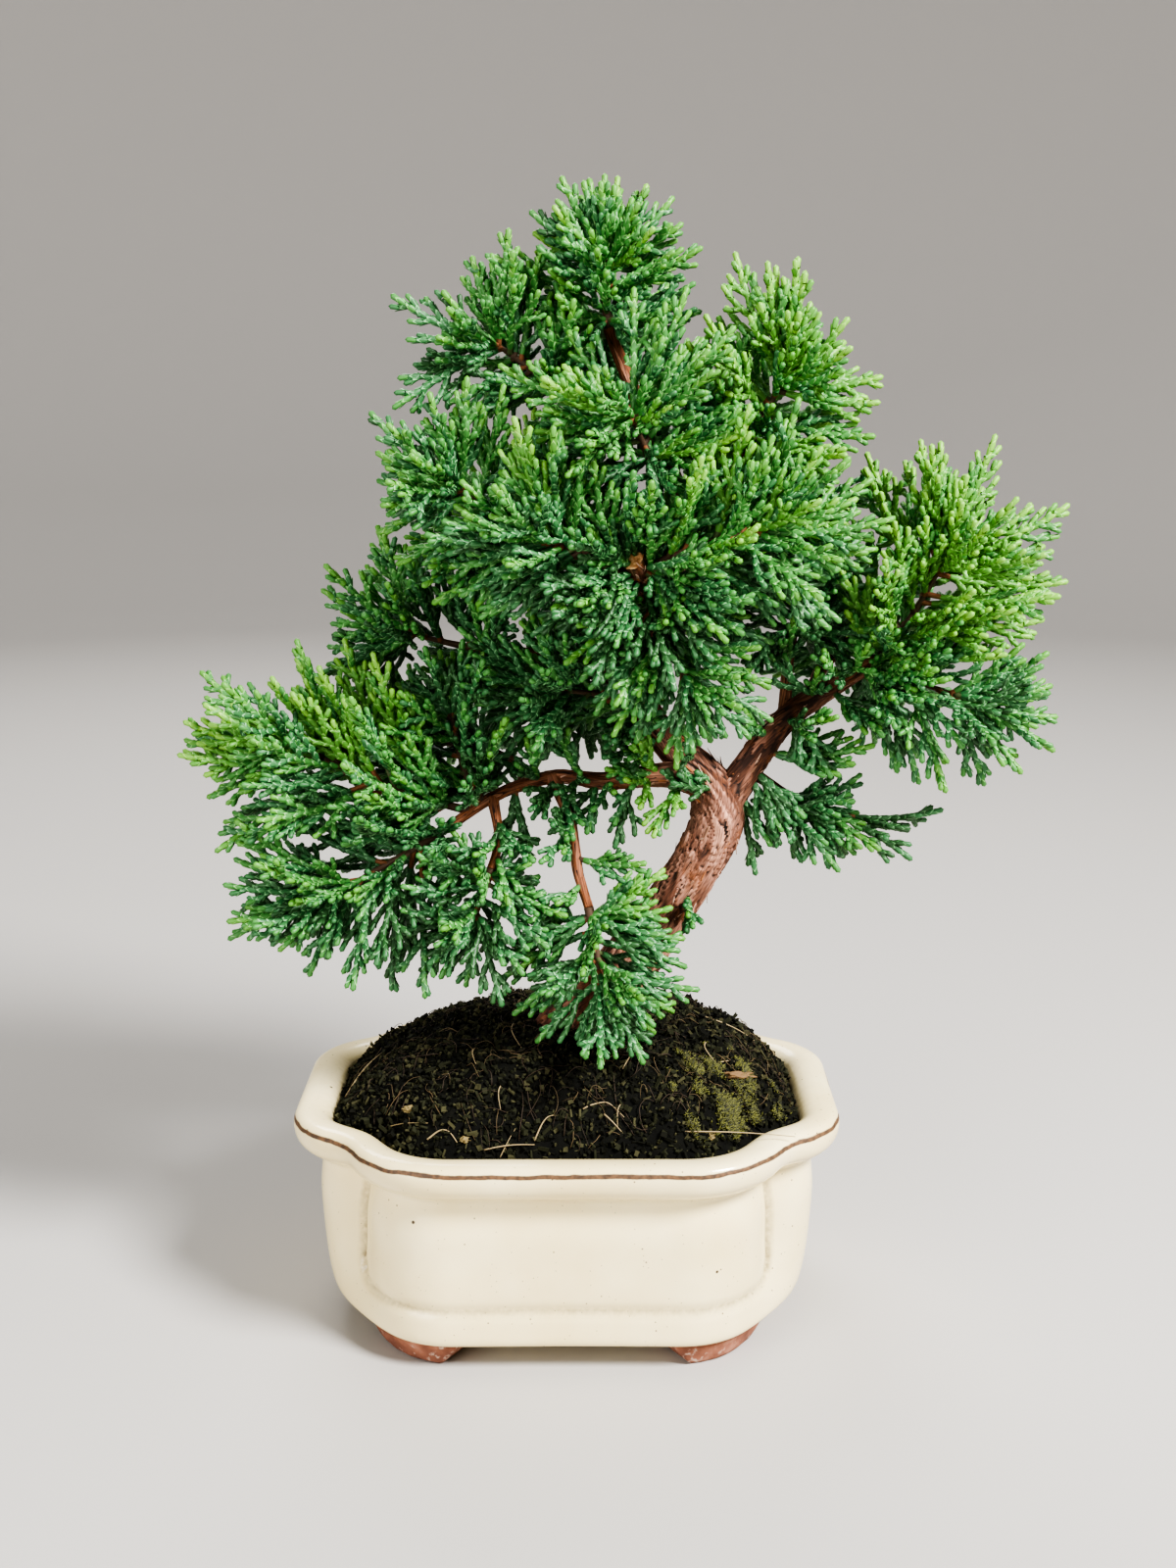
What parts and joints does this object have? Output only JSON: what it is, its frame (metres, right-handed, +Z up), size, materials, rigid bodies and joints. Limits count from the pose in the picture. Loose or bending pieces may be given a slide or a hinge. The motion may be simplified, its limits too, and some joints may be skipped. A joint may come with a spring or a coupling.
{
  "type": "kishu juniper bonsai",
  "caption": "Small kishu juniper bonsai with a leaning, forked trunk and tiered scale-leaf foliage, growing from mounded soil in a lobed ivory-glazed pot on clay corner feet.",
  "frame": {"origin": "middle of the bounding box at ground level, under the feet of the pot", "axes": "+X to the right as seen from the front, +Y to the back, +Z up"},
  "size_m": [0.235, 0.1266, 0.3084],
  "materials": {
    "ivory_glaze": "gloss",
    "red_clay": "matte",
    "dark_peat": "matte",
    "juniper_bark": "matte",
    "juniper_foliage": "satin"
  },
  "bodies": {
    "root": {"bough_back_left_high": "juniper_bark", "bough_back_left_low": "juniper_bark", "bough_back_low": "juniper_bark", "bough_back_middle": "juniper_bark", "bough_back_right_high": "juniper_bark", "bough_back_right_low": "juniper_bark", "bough_back_top": "juniper_bark", "bough_crown_front": "juniper_bark", "bough_drop": "juniper_bark", "bough_front": "juniper_bark", "bough_left": "juniper_bark", "bough_left_middle": "juniper_bark", "bough_low_middle": "juniper_bark", "bough_right": "juniper_bark", "bough_right_inner": "juniper_bark", "bough_right_low": "juniper_bark", "bough_shoulder": "juniper_bark", "bough_upper_left": "juniper_bark", "bough_upper_right": "juniper_bark", "foot_back_left": "red_clay", "foot_back_right": "red_clay", "foot_front_left": "red_clay", "foot_front_right": "red_clay", "mass_apex": "juniper_foliage", "mass_back_left_high": "juniper_foliage", "mass_back_left_low": "juniper_foliage", "mass_back_low": "juniper_foliage", "mass_back_middle": "juniper_foliage", "mass_back_right_high": "juniper_foliage", "mass_back_right_low": "juniper_foliage", "mass_back_top": "juniper_foliage", "mass_centre_left": "juniper_foliage", "mass_centre_low": "juniper_foliage", "mass_centre_right": "juniper_foliage", "mass_crown_front": "juniper_foliage", "mass_front_low": "juniper_foliage", "mass_hanging": "juniper_foliage", "mass_left_inner": "juniper_foliage", "mass_left_middle": "juniper_foliage", "mass_low_left": "juniper_foliage", "mass_low_left_top": "juniper_foliage", "mass_low_middle": "juniper_foliage", "mass_right_inner": "juniper_foliage", "mass_right_low": "juniper_foliage", "mass_right_top": "juniper_foliage", "mass_shoulder": "juniper_foliage", "mass_upper_left": "juniper_foliage", "mass_upper_right": "juniper_foliage", "mass_wisp": "juniper_foliage", "pot": "ivory_glaze", "soil": "dark_peat", "trunk": "juniper_bark"}
  },
  "joints": []
}
